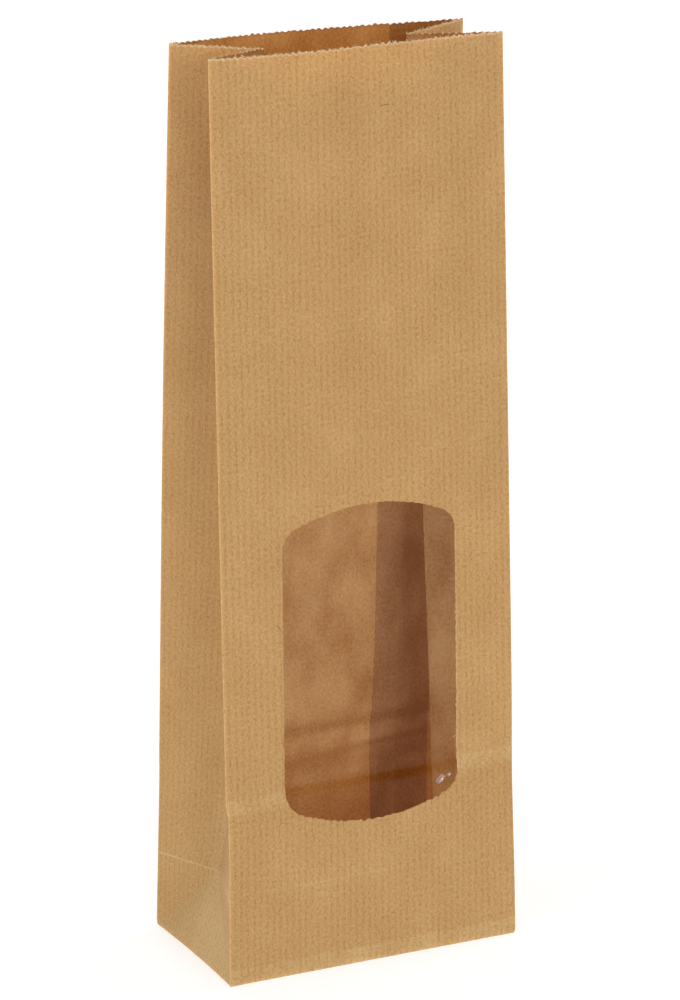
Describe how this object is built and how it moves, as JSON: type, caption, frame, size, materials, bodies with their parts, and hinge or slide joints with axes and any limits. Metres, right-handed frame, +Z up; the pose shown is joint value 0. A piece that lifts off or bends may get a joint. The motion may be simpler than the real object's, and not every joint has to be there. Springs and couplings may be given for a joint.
{
  "type": "block-bottom paper bag with window",
  "caption": "Empty open paper bag with a flat block foot, folded side gussets, a toothed mouth edge and an arched window closed with clear film.",
  "frame": {"origin": "middle of the foot, on the surface the bag stands on", "axes": "+Z up towards the open mouth, the panel with the window faces -Y, +X along the front panel to the right as seen from the front"},
  "size_m": [0.0708, 0.04, 0.2048],
  "materials": {
    "kraft_paper": "unbleached ribbed brown kraft, uncoated",
    "clear_film": "clear glossy film, slightly hazy"
  },
  "bodies": {
    "root": {"paper_bag": "kraft_paper", "window_film": "clear_film"}
  },
  "joints": []
}
